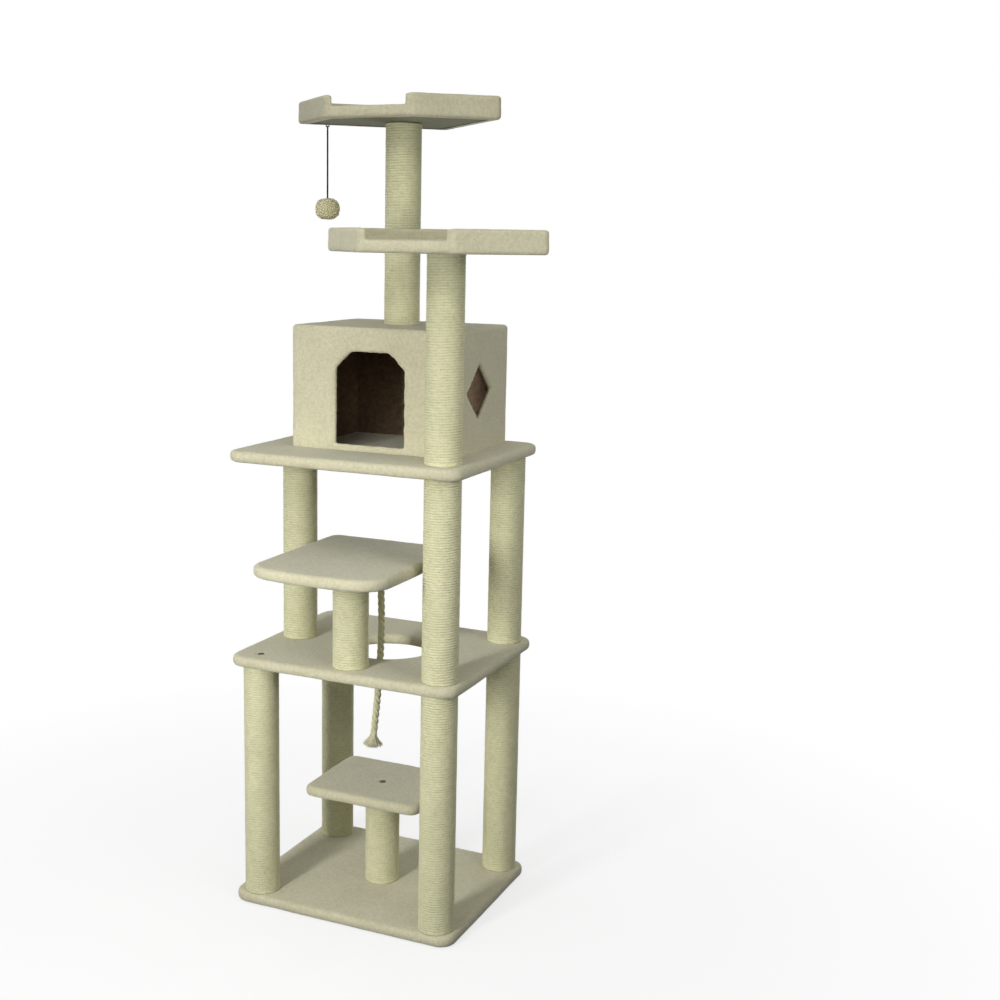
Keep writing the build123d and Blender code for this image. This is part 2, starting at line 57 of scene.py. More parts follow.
# Sizes in millimetres, as in the part's source
BOARD_CORNER = 42.0
LOW_STEP_CORNER = 28.0
HOLE_X, HOLE_Y, HOLE_RADIUS = 10.0, 5.0, 107.0
HIGH_BOW, HIGH_FRONT_CORNER, HIGH_BACK_CORNER = 21.0, 70.0, 30.0
PERCH = [(-114.0, -202.0), (114.0, -202.0), (272.0, -52.0), (0.0, 237.0), (-272.0, -52.0)]
PERCH_CORNER, PERCH_RIM, PERCH_FLOOR = 14.0, 16.0, 28.0
PERCH_SHIFT = {"side_perch": -5.0, "top_perch": 6.0}
DOOR_WIDTH, DOOR_HEIGHT, DOOR_SILL, DOOR_CLIP, DOOR_SHIFT = 183.0, 224.0, 16.0, 40.0, -4.0
WINDOW_WIDE, WINDOW_TALL, WINDOW_FORWARD, WINDOW_DROP = 74.0, 68.0, 12.0, 5.0
WALL = 17.0
POSTS = (
    "front_left_post back_left_post front_right_post back_right_post low_step_post mid_left_post "
    "mid_front_right_post mid_back_right_post high_step_post side_perch_post top_perch_post"
).split()

# Posts whose bolts press a board's cover from above and from below
BOLTS_ABOVE = {
    "mid": ["front_left_post", "back_left_post"],
    "upper": ["mid_left_post", "mid_back_right_post"],
    "low_step": ["low_step_post"],
    "high_step": ["high_step_post"],
}
BOLTS_BELOW = {"base": POSTS[:5], "mid": ["mid_left_post", "high_step_post"]}

# Plush in millimetres: point spacing, roundings, hem and lining, bolt dimples, uneven pile.
# A dimple's spread is in square millimetres. Over a covered bolt the plush dips only a little,
# or swells.
GRID = 5.0
BOARD_EDGE, PERCH_EDGE, RIM_EDGE, HOUSE_EDGE, CUT_EDGE = 11.0, 9.0, 6.5, 9.0, 5.0
RIM_JOIN, OPEN_FRONT = 3.5, -40.0
HEM, HEM_LAP, LINING_LIFT = 24.0, 9.0, 1.4
DIMPLE, DIMPLE_SPREAD = 4.6, 90.0
COVERED_BOLT = {"high_step": 0.7, "upper": -0.4}
FINE_PILE, FINE_PILE_SIZE, BROAD_PILE, BROAD_PILE_SIZE = 0.25, 13.0, 0.5, 60.0
RAGGED, RAGGED_SIZE, RAGGED_REACH, FAR = 1.7, 6.0, 6.0, 99.0

# House in millimetres: how deep its cover sinks in the walls and where its foot is cut,
# then the share of its half width past which the window opens
SUNK_IN_WALL, HOUSE_START, HOUSE_LIFT, HOUSE_CUT = 4.0, 9.0, 0.4, 3.0
WINDOW_SIDE = 0.7

# Wound rope in millimetres: pitch, half depth, and half height as a share of the pitch,
# then how far it strays and swells, and over what length
WIND_PITCH, WIND_DEEP, WIND_TALL = 6.13, 2.4, 0.56
WIND_PER_TURN, WIND_SIDES = 40, 6
WIND_STRAY, WIND_STRAY_SIZE, WIND_HELD, WIND_HELD_SHARE = 0.4, 34.0, 12, 0.4
WIND_SWELL, WIND_SWELL_SIZE = 0.2, 17.0

# Hanging rope in metres, its route down from its top
ROPE_TOP = 0.87245
ROPE = [
    (-0.006, -0.0200, 0.0),
    (0.001, -0.0208, -0.100),
    (-0.0005, -0.0210, -0.215),
    (-0.007, -0.0202, -0.335),
    (-0.020, -0.0195, -0.450),
]
ROPE_LENGTH, ROPE_RADIUS, ROPE_LAY = 0.451, 0.0075, 0.054
ROPE_STRAND_OUT, ROPE_STRAND_RADIUS = 0.0045, 0.0047
FRAY_HAIRS, FRAY_POINTS, FRAY_ROOT, FRAY_LONG = 260, 7, 0.008, 0.030
FRAY_LONGER_INSIDE, FRAY_UNEVEN, FRAY_BEND = 0.008, 0.002, 0.0015
FRAY_NARROW, FRAY_WIDE, FRAY_FLARE = 0.0072, 0.0190, 2.6
FRAY_THICK, FRAY_THIN, FRAY_LEAST_SHARE = 0.0009, 0.0006, 0.02

# Toy in metres
TOY = (-0.184, 0.027, 1.93875)
TOY_CORD, TOY_CORD_RADIUS, TOY_LAY = 0.166, 0.0015, 0.012
TOY_STRAND_OUT, TOY_STRAND_RADIUS = 0.0008, 0.00145
BALL, BALL_HIGH, BALL_SQUARE = 0.030, 0.0255, 2.6
YARN_ENDS, YARN_ROOT, YARN_RADII = 2600, 0.72, (0.0011, 0.0012, 0.0012, 0.0006)
YARN_LEAN, YARN_SHORTEST, YARN_BEND = 0.05, 0.965, 0.0008

# The pompom's packed core in millimetres, at 93 % of the ball
CORE_HALF = np.array([BALL, BALL, BALL_HIGH]) * 930
CORE_GRID, CORE_LUMP, CORE_LUMP_SIZE = 2.5, 0.5, 5.0

# Both cords: strands, metres between the points of a line, and sides of each tube
STRANDS, LINE_STEP = 3, 0.002
ROPE_SIDES, CORD_SIDES, FIBRE_SIDES = 10, 8, 5

# Camera in metres and degrees
CAMERA_PLACE = (1.6074, -3.1770, 1.6883)
CAMERA_TURN, CAMERA_TILT, CAMERA_ROLL = 25.12, 10.428, 0.805
CAMERA_LENS, CAMERA_SENSOR, CAMERA_SHIFT = 51.95, 36, 0.0713

# Lamps: place, aim, width and height in metres, then watts and spread in degrees
LAMPS = {
    "key": ((-0.43, -2.8, 1.35), (0.0, 0.0, 0.6), 0.35, 1.0, 12.5, 80),
    "top": ((0.3, -2.2, 2.7), (0.15, 0.0, 1.75), 0.5, 0.5, 1.0, 50),
    "fill": ((1.9, -0.9, 1.7), (0.2, 0.0, 1.35), 0.8, 0.8, 2.5, 80),
    "back": ((0.0, 2.8, 0.65), (0.0, 0.2, 1.2), 0.8, 0.8, 6.0, 80),
    "left": ((-1.9, 0.9, 0.8), (-0.1, 0.0, 1.1), 0.8, 0.8, 1.3, 80),
}

# Sky: brightness that rises with height from its least, more in front and on the right
SKY_RISE, SKY_LEAST, SKY_MIDDLE, SKY_FRONT, SKY_RIGHT = 0.85, 0.06, 0.82, 0.38, 0.1

# Floor in metres: half its width and its height, then how fast its shadow fades outwards
FLOOR_HALF, FLOOR_Z, FLOOR_FADE = 30, -0.0005, 0.4

WHITE = (1.0, 1.0, 1.0)


def box_mm(node):
    """Low and high corner of a node of the model, in millimetres."""
    low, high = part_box(node)
    return np.array(low) * 1000, np.array(high) * 1000


def post_at(name):
    """Where a post stands, in plan."""
    low, high = box_mm(name + "_sisal")
    return (low[:2] + high[:2]) / 2


# ---- mesh helpers


def make_object(name, points_mm, faces, mat, body="tree", stands_for=()):
    """A smooth mesh that rides a body, and stands for nodes of the model."""
    mesh = bpy.data.meshes.new(name)
    points = (np.asarray(points_mm) / 1000).tolist()
    mesh.from_pydata(points, [], [tuple(map(int, f)) for f in faces])
    mesh.validate()
    mesh.polygons.foreach_set("use_smooth", np.full(len(mesh.polygons), True))
    mesh.materials.append(mat)
    obj = bpy.data.objects.new(name, mesh)
    scene.collection.objects.link(obj)
    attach(obj, body)
    if stands_for:
        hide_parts(*stands_for)
    return obj


def rope_map(obj, uv):
    """Writes each face corner's place along and round the rope. The end caps keep zero."""
    flat = np.zeros((len(obj.data.loops), 2), np.float32)
    flat[: len(uv)] = uv
    obj.data.uv_layers.new(name="rope").data.foreach_set("uv", flat.ravel())


def lumps(points, size, seed):
    """Smooth random values from -1 to 1 that vary over size millimetres."""
    cells = 48
    table = np.random.default_rng(seed).uniform(-1, 1, (cells, cells, cells))
    q = np.asarray(points) / size
    cell = np.floor(q).astype(int)
    t = q - cell
    t = t * t * (3 - 2 * t)
    total = np.zeros(len(q))
    for corner in np.ndindex(2, 2, 2):
        weight = np.prod(np.where(corner, t, 1 - t), axis=1)
        i, j, k = ((cell + corner) % cells).T
        total += weight * table[i, j, k]
    return total


def face_vectors(points, faces):
    """Twice the area of each quad, along its normal."""
    p = points[faces]
    return np.cross(p[:, 2] - p[:, 0], p[:, 3] - p[:, 1])


def normals(points, faces):
    """Unit normals at the points, weighted by area."""
    n = face_vectors(points, faces)
    total = np.zeros_like(points)
    for k in range(4):
        np.add.at(total, faces[:, k], n)
    return total / np.maximum(np.linalg.norm(total, axis=1), 1e-9)[:, None]


def surface(field, low, high, step=GRID):
    """The zero surface of a field: points on a grid in millimetres, and quads facing outwards."""
    before, after = 2.3 * step, 2.8 * step
    axes = [np.arange(low[i] - before, high[i] + after, step) for i in range(3)]
    f = field(*np.meshgrid(*axes, indexing="ij", sparse=True))
    f = np.broadcast_to(f, [len(a) for a in axes])
    inside = f < 0
    n = [len(a) - 1 for a in axes]

    def at(array, corner):
        return array[tuple(slice(c, c + m) for c, m in zip(corner, n))]

    count = sum(at(inside, c).astype(int) for c in np.ndindex(2, 2, 2))
    active = (count > 0) & (count < 8)
    index = np.full(active.shape, -1)
    index[active] = np.arange(active.sum())

    # One point in each cell that the surface crosses, at the mean of its crossings
    place, hits = np.zeros((active.sum(), 3)), np.zeros(active.sum())
    for axis in range(3):
        for corner in np.ndindex(2, 2, 2):
            if corner[axis]:
                continue
            other = list(corner)
            other[axis] = 1
            a, b = at(f, corner)[active], at(f, other)[active]
            cut = (a < 0) != (b < 0)
            p = np.tile(np.array(corner, float), (len(a), 1))
            p[:, axis] = np.where(cut, a / np.where(cut, a - b, 1), 0)
            place[cut] += p[cut]
            hits[cut] += 1
    points = np.argwhere(active) + place / hits[:, None]
    points = points * step + np.array([a[0] for a in axes])

    # One quad round each grid edge that the surface crosses
    quads = []
    for axis in range(3):
        u, v = (axis + 1) % 3, (axis + 2) % 3
        lo = [slice(1, m) for m in n]
        lo[axis] = slice(0, n[axis])
        hi = list(lo)
        hi[axis] = slice(1, n[axis] + 1)
        a, b = inside[tuple(lo)], inside[tuple(hi)]
        for way, cells in ((1, a & ~b), (-1, b & ~a)):
            at_cell = np.argwhere(cells)
            at_cell[:, u] += 1
            at_cell[:, v] += 1
            ring = []
            for du, dv in ((1, 1), (0, 1), (0, 0), (1, 0))[::way]:
                c = at_cell.copy()
                c[:, u] -= du
                c[:, v] -= dv
                ring.append(index[tuple(c.T)])
            quads.append(np.stack(ring, axis=1))
    return points, np.concatenate(quads)


def keep(points, faces, chosen):
    """The chosen faces, with only the points that they use."""
    faces = faces[chosen]
    used, where = np.unique(faces, return_inverse=True)
    return points[used], where.reshape(faces.shape)


def rim_points(faces):
    """Indices of the points on the open edge of a mesh of quads."""
    edges = np.sort(np.concatenate([faces[:, [k, (k + 1) % 4]] for k in range(4)]), axis=1)
    edges, uses = np.unique(edges, axis=0, return_counts=True)
    return np.unique(edges[uses == 1])


# ---- outlines and forms, as distances that are negative inside


def both(a, b):
    """Distance to where two forms overlap, round outside the corner between them."""
    return np.minimum(np.maximum(a, b), 0) + np.hypot(np.maximum(a, 0), np.maximum(b, 0))


def join(a, b, soft):
    """Two forms as one, with a soft inside corner."""
    h = np.clip(0.5 + 0.5 * (b - a) / soft, 0, 1)
    return b + (a - b) * h - soft * h * (1 - h)


def rounded_rectangle(low, high, corner):
    centre, half = (low[:2] + high[:2]) / 2, (high[:2] - low[:2]) / 2 - corner

    def distance(x, y):
        return both(abs(x - centre[0]) - half[0], abs(y - centre[1]) - half[1]) - corner

    return distance


def polygon(corners, grow=0.0):
    """A polygon, grown all round with round corners."""
    def distance(x, y):
        best, inside = 1e9, False
        for (ax, ay), (bx, by) in zip(corners, corners[1:] + corners[:1]):
            dx, dy = bx - ax, by - ay
            t = np.clip(((x - ax) * dx + (y - ay) * dy) / (dx * dx + dy * dy), 0, 1)
            best = np.minimum(best, np.hypot(x - ax - t * dx, y - ay - t * dy))
            crosses = ((ay > y) != (by > y)) & (x < ax + (y - ay) * dx / (dy if dy else 1e-9))
            inside = inside ^ crosses
        return np.where(inside, -best, best) - grow

    return distance


def inset(corners, distances):
    """Corners of a polygon with each side moved inwards by its own distance."""
    lines = []
    for (ax, ay), (bx, by), d in zip(corners, corners[1:] + corners[:1], distances):
        length = math.hypot(bx - ax, by - ay)
        ux, uy = (bx - ax) / length, (by - ay) / length
        lines.append((ax - uy * d, ay + ux * d, ux, uy))
    moved = []
    for (px, py, dx, dy), (qx, qy, ex, ey) in zip(lines[-1:] + lines[:-1], lines):
        t = ((qx - px) * ey - (qy - py) * ex) / (dx * ey - dy * ex)
        moved.append((px + dx * t, py + dy * t))
    return moved


def slab(flat, z0, z1, rounding, dimples=()):
    """A wrapped board: its outline drawn up with round edges, pressed in at each bolt."""
    middle, half = (z0 + z1) / 2, (z1 - z0) / 2

    def field(x, y, z):
        for bx, by, deep in dimples:
            away = ((x - bx) ** 2 + (y - by) ** 2) / DIMPLE_SPREAD
            z = z + deep * np.exp(-(away**2))
        return both(flat(x, y) + rounding, abs(z - middle) - (half - rounding)) - rounding

    return field


# ---- materials


def material(name, colour, rough):
    m = bpy.data.materials.new(name)
    m.use_nodes = True
    tree = m.node_tree
    shader = tree.nodes["Principled BSDF"]
    shader.inputs["Base Color"].default_value = (*colour, 1)
    shader.inputs["Roughness"].default_value = rough
    return m, tree, shader


def add(tree, kind, **values):
    """A shader node, with its settings and the values of its inputs."""
    node = tree.nodes.new("ShaderNode" + kind)
    for key, value in values.items():
        if hasattr(node, key):
            setattr(node, key, value)
        else:
            node.inputs[key.replace("_", " ")].default_value = value
    return node


def linear(*rgb):
    """Linear colour from levels of 0 to 255."""
    return tuple(
        ((c / 255 + 0.055) / 1.055) ** 2.4 if c > 10 else c / 255 / 12.92 for c in rgb
    )


def noise(tree, coords, scale, detail=2.0, rough=0.5):
    n = add(tree, "TexNoise", Scale=scale, Detail=detail, Roughness=rough)
    tree.links.new(coords, n.inputs["Vector"])
    return n.outputs["Fac"]


def ramp(tree, value, *stops):
    """Colour by a value, from stops of place and colour."""
    n = tree.nodes.new("ShaderNodeValToRGB")
    n.color_ramp.elements.remove(n.color_ramp.elements[0])
    for i, (place, colour) in enumerate(stops):
        e = n.color_ramp.elements[0] if i == 0 else n.color_ramp.elements.new(place)
        e.position = place
        e.color = (*colour, 1)
    tree.links.new(value, n.inputs["Fac"])
    return n.outputs["Color"]


def mix(tree, fac, a, b, how="MIX"):
    """Two colours mixed. Each input is a value or a socket."""
    n = add(tree, "Mix", data_type="RGBA", blend_type=how)
    for socket, value in zip((n.inputs[0], n.inputs[6], n.inputs[7]), (fac, a, b)):
        if isinstance(value, bpy.types.NodeSocket):
            tree.links.new(value, socket)
        else:
            socket.default_value = value if isinstance(value, float) else (*value, 1)
    return n.outputs[2]


def maths(tree, how, a, b=0.0):
    n = add(tree, "Math", operation=how)
    for socket, value in zip(n.inputs, (a, b)):
        if isinstance(value, bpy.types.NodeSocket):
            tree.links.new(value, socket)
        else:
            socket.default_value = value
    return n.outputs[0]


def times(tree, a, b):
    return maths(tree, "MULTIPLY", a, b)


def plus(tree, a, b):
    return maths(tree, "ADD", a, b)


def paint(tree, shader, colour):
    tree.links.new(colour, shader.inputs["Base Color"])


def bump(tree, shader, height, strength, distance):
    n = add(tree, "Bump", Strength=strength, Distance=distance)
    tree.links.new(height, n.inputs["Height"])
    tree.links.new(n.outputs["Normal"], shader.inputs["Normal"])


def object_coords(tree):
    return add(tree, "TexCoord").outputs["Object"]


def plush_material():
    m, tree, shader = material("plush", linear(198, 193, 163), 0.95)
    place = object_coords(tree)
    nap, tuft = noise(tree, place, 420, 3.0, 0.6), noise(tree, place, 130)
    patch = noise(tree, place, 14)
    colour = ramp(
        tree,
        nap,
        (0.28, linear(178, 173, 142)),
        (0.5, linear(199, 194, 164)),
        (0.75, linear(214, 210, 184)),
    )
    tufted = ramp(tree, tuft, (0.3, linear(182, 177, 145)), (0.7, linear(212, 208, 181)))
    shade = ramp(tree, patch, (0.3, (0.93, 0.93, 0.915)), (0.7, WHITE))
    colour = mix(tree, 0.45, colour, tufted)
    paint(tree, shader, mix(tree, 1.0, colour, shade, "MULTIPLY"))
    bump(tree, shader, plus(tree, nap, times(tree, tuft, 1.2)), 0.4, 0.002)
    shader.inputs["Sheen Weight"].default_value = 0.25
    shader.inputs["Sheen Roughness"].default_value = 0.6
    shader.inputs["Specular IOR Level"].default_value = 0.15
    return m


def shaded_felt_material():
    """Thin felt that closes the undersides. Its dark grey is painted shade under the boards."""
    m, tree, shader = material("lining_felt_painted_shade", linear(140, 142, 122), 0.95)
    web = noise(tree, object_coords(tree), 380, 4.0, 0.7)
    paint(tree, shader, ramp(tree, web, (0.3, linear(126, 128, 109)), (0.7, linear(152, 154, 134))))
    bump(tree, shader, web, 0.3, 0.0008)
    shader.inputs["Specular IOR Level"].default_value = 0.15
    return m


def sisal_material(name, lay, wound):
    """Twisted rope, with strands from the map named rope, and painted shade in the creases between
    strands and where wound turns meet.
    """
    m, tree, shader = material(name, linear(216, 213, 176), 0.85)
    place = object_coords(tree)
    split = add(tree, "SeparateXYZ")
    tree.links.new(add(tree, "UVMap", uv_map="rope").outputs["UV"], split.inputs[0])
    length, round_it = split.outputs["X"], split.outputs["Y"]
    turn = plus(tree, times(tree, length, STRANDS / lay), times(tree, round_it, float(STRANDS)))
    strand = maths(tree, "ABSOLUTE", maths(tree, "SINE", times(tree, turn, math.pi)))
    run = add(tree, "CombineXYZ")
    tree.links.new(times(tree, length, 70.0), run.inputs[0])
    tree.links.new(times(tree, round_it, 2.0), run.inputs[1])
    streak = noise(tree, run.outputs[0], 1.0, 3.0, 0.6)
    fibre = noise(tree, place, 900, 3.0, 0.65)
    colour = ramp(
        tree,
        fibre,
        (0.3, linear(198, 195, 152)),
        (0.52, linear(219, 217, 179)),
        (0.75, linear(235, 234, 204)),
    )
    streaked = ramp(
        tree,
        streak,
        (0.3, linear(196, 193, 149)),
        (0.5, linear(219, 217, 179)),
        (0.7, linear(236, 235, 206)),
    )
    colour = mix(tree, 0.5, colour, streaked)
    # Painted shade in the creases between the strands
    strand_crease_shade = ramp(tree, strand, (0.0, (0.7, 0.68, 0.62)), (0.35, WHITE))
    colour = mix(tree, 0.45, colour, strand_crease_shade, "MULTIPLY")
    speck = ramp(tree, noise(tree, place, 230), (0.645, (0, 0, 0)), (0.73, (0.55, 0.55, 0.55)))
    colour = mix(tree, speck, colour, linear(146, 136, 92))
    if wound:
        # Painted shade where wound turns meet, stronger in some places than in others at random
        outward = maths(tree, "COSINE", times(tree, round_it, 2 * math.pi))
        turns_meeting_shade = ramp(tree, outward, (0.6, (0.78, 0.77, 0.72)), (0.86, WHITE))
        turns_meeting_shade_share = ramp(tree, noise(tree, place, 45), (0.35, (0.3, 0.3, 0.3)), (0.65, WHITE))
        colour = mix(tree, turns_meeting_shade_share, colour, turns_meeting_shade, "MULTIPLY")
    shade = ramp(tree, noise(tree, place, 22), (0.3, (0.92, 0.925, 0.9)), (0.7, WHITE))
    paint(tree, shader, mix(tree, 1.0, colour, shade, "MULTIPLY"))
    bump(tree, shader, plus(tree, strand, plus(tree, fibre, streak)), 0.5, 0.0014)
    shader.inputs["Sheen Weight"].default_value = 0.1
    shader.inputs["Specular IOR Level"].default_value = 0.2
    return m


def yarn_material(name, dark, light, scale):
    m, tree, shader = material(name, light, 0.9)
    place = object_coords(tree)
    paint(tree, shader, ramp(tree, noise(tree, place, scale, 3.0), (0.3, dark), (0.7, light)))
    bump(tree, shader, noise(tree, place, scale * 4), 0.5, 0.0006)
    shader.inputs["Sheen Weight"].default_value = 0.2
    shader.inputs["Specular IOR Level"].default_value = 0.15
    return m


def board_material():
    """Raw pressed board, seen inside the house."""
    m, tree, shader = material("pressed_board", linear(150, 118, 82), 0.8)
    place = object_coords(tree)
    voronoi = add(tree, "TexVoronoi", Scale=190.0)
    tree.links.new(place, voronoi.inputs["Vector"])
    chips = voronoi.outputs["Distance"]
    colour = ramp(tree, chips, (0.0, linear(142, 117, 88)), (0.8, linear(99, 78, 56)))
    cloud = noise(tree, place, 60, 4.0)
    clouded = ramp(tree, cloud, (0.35, linear(89, 70, 50)), (0.7, linear(142, 119, 92)))
    paint(tree, shader, mix(tree, 0.35, colour, clouded))
    bump(tree, shader, chips, 0.25, 0.0008)
    return m


def tube_material():
    m, tree, shader = material("paper_tube", linear(150, 122, 90), 0.85)
    place = object_coords(tree)
    pulp = noise(tree, place, 240, 3.0)
    paint(tree, shader, ramp(tree, pulp, (0.3, linear(134, 106, 76)), (0.7, linear(164, 136, 102))))
    bump(tree, shader, noise(tree, place, 500), 0.2, 0.0005)
    return m


def steel_painted_shade_material():
    # Painted shade: the steel is made dark so bolt heads and the toy's staple read as shaded spots
    m, tree, shader = material("steel_painted_shade", linear(90, 86, 80), 0.6)
    place = object_coords(tree)
    shader.inputs["Metallic"].default_value = 0.25
    shader.inputs["Specular IOR Level"].default_value = 0.25
    stain = noise(tree, place, 900)
    paint(tree, shader, ramp(tree, stain, (0.3, linear(66, 61, 54)), (0.7, linear(104, 98, 88))))
    wear = ramp(tree, noise(tree, place, 350), (0.3, (0.5, 0.5, 0.5)), (0.7, (0.75, 0.75, 0.75)))
    tree.links.new(wear, shader.inputs["Roughness"])
    bump(tree, shader, noise(tree, place, 1500), 0.15, 0.0003)
    return m


plush = plush_material()
shaded_felt = shaded_felt_material()
wound_sisal = sisal_material("wound_sisal", 0.024, True)
laid_sisal = sisal_material("laid_sisal", 0.012, False)
pompom_yarn = yarn_material("pompom_yarn", linear(190, 185, 145), linear(224, 220, 186), 300)
cord_yarn = yarn_material("black_cord", linear(8, 8, 9), linear(24, 24, 25), 900)
fray_yarn = yarn_material("sisal_fibre", linear(186, 178, 140), linear(232, 228, 202), 400)
SOLID_MATERIALS = {
    "board_wood": board_material(),
    "paper_tube": tube_material(),
    "steel": steel_painted_shade_material(),
}
for part in frame["record"]["subparts"]:
    if part["material_slot"] in SOLID_MATERIALS:
        solid = nodes[part["node"]].data
        solid.materials.clear()
        solid.materials.append(SOLID_MATERIALS[part["material_slot"]])


# ---- plush-wrapped boards


def fluff(points, faces, seed):
    """Stands the pile up unevenly."""
    height = FINE_PILE * lumps(points, FINE_PILE_SIZE, seed)
    height = height + BROAD_PILE * lumps(points, BROAD_PILE_SIZE, seed + 1)
    return points + normals(points, faces) * height[:, None]


def wrap(name, flat, field, low, high, seed):
    """One plush cut drawn over a board and turned under it, and the lining that closes it."""
    points, faces = surface(field, low, high)
    centre = points[faces].mean(axis=1)
    depth = flat(centre[:, 0], centre[:, 1])
    under = centre[:, 2] < low[2] + GRID / 2
    moved = fluff(points, faces, seed)
    moved[:, 2] = np.maximum(moved[:, 2], low[2])

    # The hem's edge is drawn on to a line at an even distance from the outline
    over, over_faces = keep(moved, faces, ~(under & (depth < -HEM)))
    edge = rim_points(over_faces)
    for _ in range(3):
        x, y = over[edge, 0], over[edge, 1]
        slope_x = flat(x + 0.5, y) - flat(x - 0.5, y)
        slope_y = flat(x, y + 0.5) - flat(x, y - 0.5)
        over[edge, :2] -= np.stack([slope_x, slope_y], axis=1) * (flat(x, y) + HEM)[:, None]
    stands_for = (name + "_cover",)
    cover = make_object(name + "_plush", over, over_faces, plush, stands_for=stands_for)

    closed, closed_faces = keep(points, faces, under & (depth < -HEM + HEM_LAP))
    closed = closed + (0, 0, LINING_LIFT)
    # The lining's felt is darker than the plush as painted shade under the boards
    lining = make_object(name + "_lining", closed, closed_faces, shaded_felt)
    wide, deep, _ = (closed.max(axis=0) - closed.min(axis=0)) / 1000
    lined = np.linalg.norm(face_vectors(closed, closed_faces) / 2, axis=1).sum() / 1e6
    lined = min(lined, wide * deep)


def arc(centre, radius, start, end, count=12):
    """Points on an arc, from one angle to another."""
    turns = np.linspace(start, end, count)
    return [(centre[0] + radius * math.cos(t), centre[1] + radius * math.sin(t)) for t in turns]


def high_step_corners(low, high):
    """The bowed front with its large corners, then the back, anticlockwise."""
    middle, half = (low[0] + high[0]) / 2, (high[0] - low[0]) / 2
    radius = (half**2 + HIGH_BOW**2) / (2 * HIGH_BOW)
    f, r = HIGH_FRONT_CORNER, HIGH_BACK_CORNER
    across = half - f
    up = low[1] + radius - math.sqrt((radius - f) ** 2 - across**2)
    lean = math.asin(across / (radius - f))
    quarter = math.pi / 2
    left = arc((middle - across, up), f, -2 * quarter, -quarter - lean)
    front = arc((middle, low[1] + radius), radius, -quarter - lean, -quarter + lean, 24)[1:-1]
    right = arc((middle + across, up), f, -quarter + lean, 0)
    back_right = arc((high[0] - r, high[1] - r), r, 0, quarter, 8)
    back_left = arc((low[0] + r, high[1] - r), r, quarter, 2 * quarter, 8)
    return left + front + right + back_right + back_left


def board_outline(name, low, high):
    """The plan of a board, with the hole in the middle platform."""
    if name == "high_step":
        return polygon(high_step_corners(low, high))
    whole = rounded_rectangle(low, high, LOW_STEP_CORNER if name == "low_step" else BOARD_CORNER)
    if name != "mid":
        return whole

    def with_hole(x, y):
        return np.maximum(whole(x, y), HOLE_RADIUS - np.hypot(x - HOLE_X, y - HOLE_Y))

    return with_hole


def wrapped_board(name, seed):
    low, high = box_mm(name + "_cover")
    flat = board_outline(name, low, high)
    press = COVERED_BOLT.get(name, DIMPLE)
    dimples = [(*post_at(p), press) for p in BOLTS_ABOVE.get(name, ())]
    dimples += [(*post_at(p), -DIMPLE) for p in BOLTS_BELOW.get(name, ())]
    wrap(name, flat, slab(flat, low[2], high[2], BOARD_EDGE, dimples), low, high, seed)


def perch(name, seed):
    """A five-sided tray: a floor, and a rim that leaves the front open."""
    low, high = box_mm(name + "_cover")
    place = post_at(name + "_post")
    corners = [(x + place[0] + PERCH_SHIFT[name], y + place[1]) for x, y in PERCH]
    flat = polygon(inset(corners, [PERCH_CORNER] * 5), PERCH_CORNER)
    inner = polygon(inset(corners, [OPEN_FRONT] + [PERCH_RIM] * 4))

    def rim_flat(x, y):
        return np.maximum(flat(x, y), -inner(x, y))

    seat = slab(flat, low[2], low[2] + PERCH_FLOOR, PERCH_EDGE, [(*place, DIMPLE)])
    rim = slab(rim_flat, low[2], high[2], RIM_EDGE)

    def tray(x, y, z):
        return join(seat(x, y, z), rim(x, y, z), RIM_JOIN)

    # The cut covers the plan, the outside with its hem, and the inside of the rim
    sides = list(zip(corners, corners[1:] + corners[:1]))
    lengths = [math.dist(a, b) for a, b in sides]
    tall = high[2] - low[2]
    area = sum(a[0] * b[1] - b[0] * a[1] for a, b in sides) / 2e6
    area += sum(lengths) / 1000 * (tall + HEM) / 1000
    area += sum(lengths[1:]) / 1000 * (tall - PERCH_FLOOR) / 1000
    wrap(name, flat, tray, low, high, seed)


for number, board in enumerate(("base", "mid", "upper", "low_step", "high_step")):
    wrapped_board(board, 10 + 7 * number)
perch("side_perch", 60)
perch("top_perch", 70)


# ---- house


